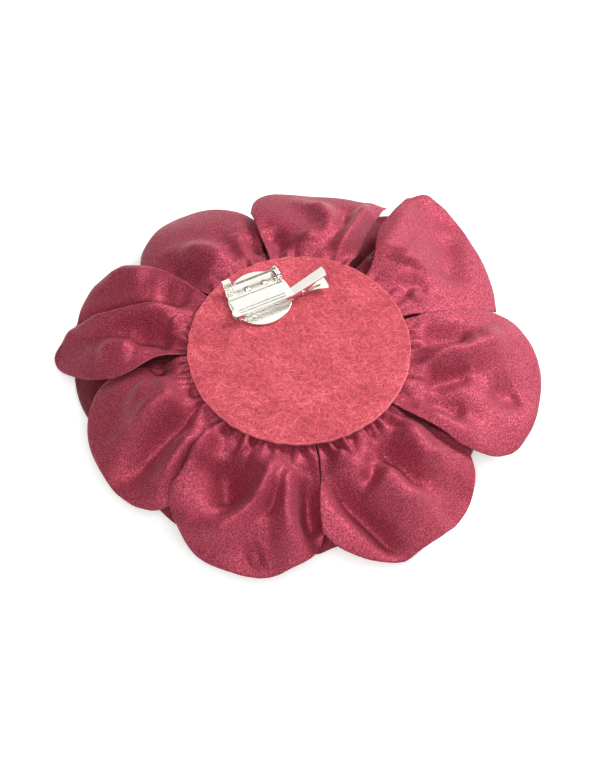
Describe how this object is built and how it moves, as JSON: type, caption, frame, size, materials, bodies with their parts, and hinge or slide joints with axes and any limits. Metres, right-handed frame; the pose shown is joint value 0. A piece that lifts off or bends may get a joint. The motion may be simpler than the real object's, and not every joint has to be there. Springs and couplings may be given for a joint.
{
  "type": "flower hair clip",
  "caption": "Large gathered satin flower with a round felt back that carries a combined alligator clip and brooch pin.",
  "frame": {"origin": "centre of the rolled bud's flat front face, which the flower rests on when it lies face down", "axes": "+Z from the bud's front up to the felt back; +X along the alligator clip towards its handle; +Y away from the clip towards the brooch pin"},
  "size_m": [0.1748, 0.1766, 0.0442],
  "materials": {
    "satin": "satin",
    "felt": "matte",
    "thread": "matte",
    "card": "matte",
    "buckram": "matte",
    "hot_glue": "satin",
    "nickel": "polished"
  },
  "bodies": {
    "flower": {"felt_backing": "felt", "back_glue": "hot_glue", "card_stiffener": "card", "core_glue": "hot_glue", "buckram_disc": "buckram", "outer_petal_1": "satin", "outer_petal_2": "satin", "outer_petal_3": "satin", "outer_petal_4": "satin", "outer_petal_5": "satin", "outer_petal_6": "satin", "outer_petal_7": "satin", "outer_petal_8": "satin", "middle_petal_1": "satin", "middle_petal_2": "satin", "middle_petal_3": "satin", "middle_petal_4": "satin", "middle_petal_5": "satin", "middle_petal_6": "satin", "middle_petal_7": "satin", "middle_petal_8": "satin", "inner_petal_1": "satin", "inner_petal_2": "satin", "inner_petal_3": "satin", "inner_petal_4": "satin", "inner_petal_5": "satin", "inner_petal_6": "satin", "rolled_bud": "satin", "outer_thread": "thread", "middle_thread": "thread", "inner_thread": "thread", "finding_glue": "hot_glue", "base_disc": "nickel", "bracket_plate": "nickel", "plate_rivets": "nickel", "hinge_rivet": "nickel", "clip_lower_arm": "nickel", "clip_rivets": "nickel", "clip_pivot": "nickel", "clip_spring": "nickel"},
    "jaw": {"clip_upper_arm": "nickel"},
    "pin": {"brooch_pin": "nickel"}
  },
  "joints": [
    {"name": "jaw_opening", "type": "hinge", "parent": "flower", "child": "jaw", "pos_m": [0.0107, 0.0203, 0.038], "axis": [0, 1, 0], "range_deg": [0, 26], "stiffness_Nm_per_rad": 0.05, "springref_deg": -34.38, "deforming": ["clip_spring"]},
    {"name": "pin_swing", "type": "hinge", "parent": "flower", "child": "pin", "pos_m": [0.0056, 0.0326, 0.03726], "axis": [0, 1, 0], "range_deg": [0, 100]}
  ]
}
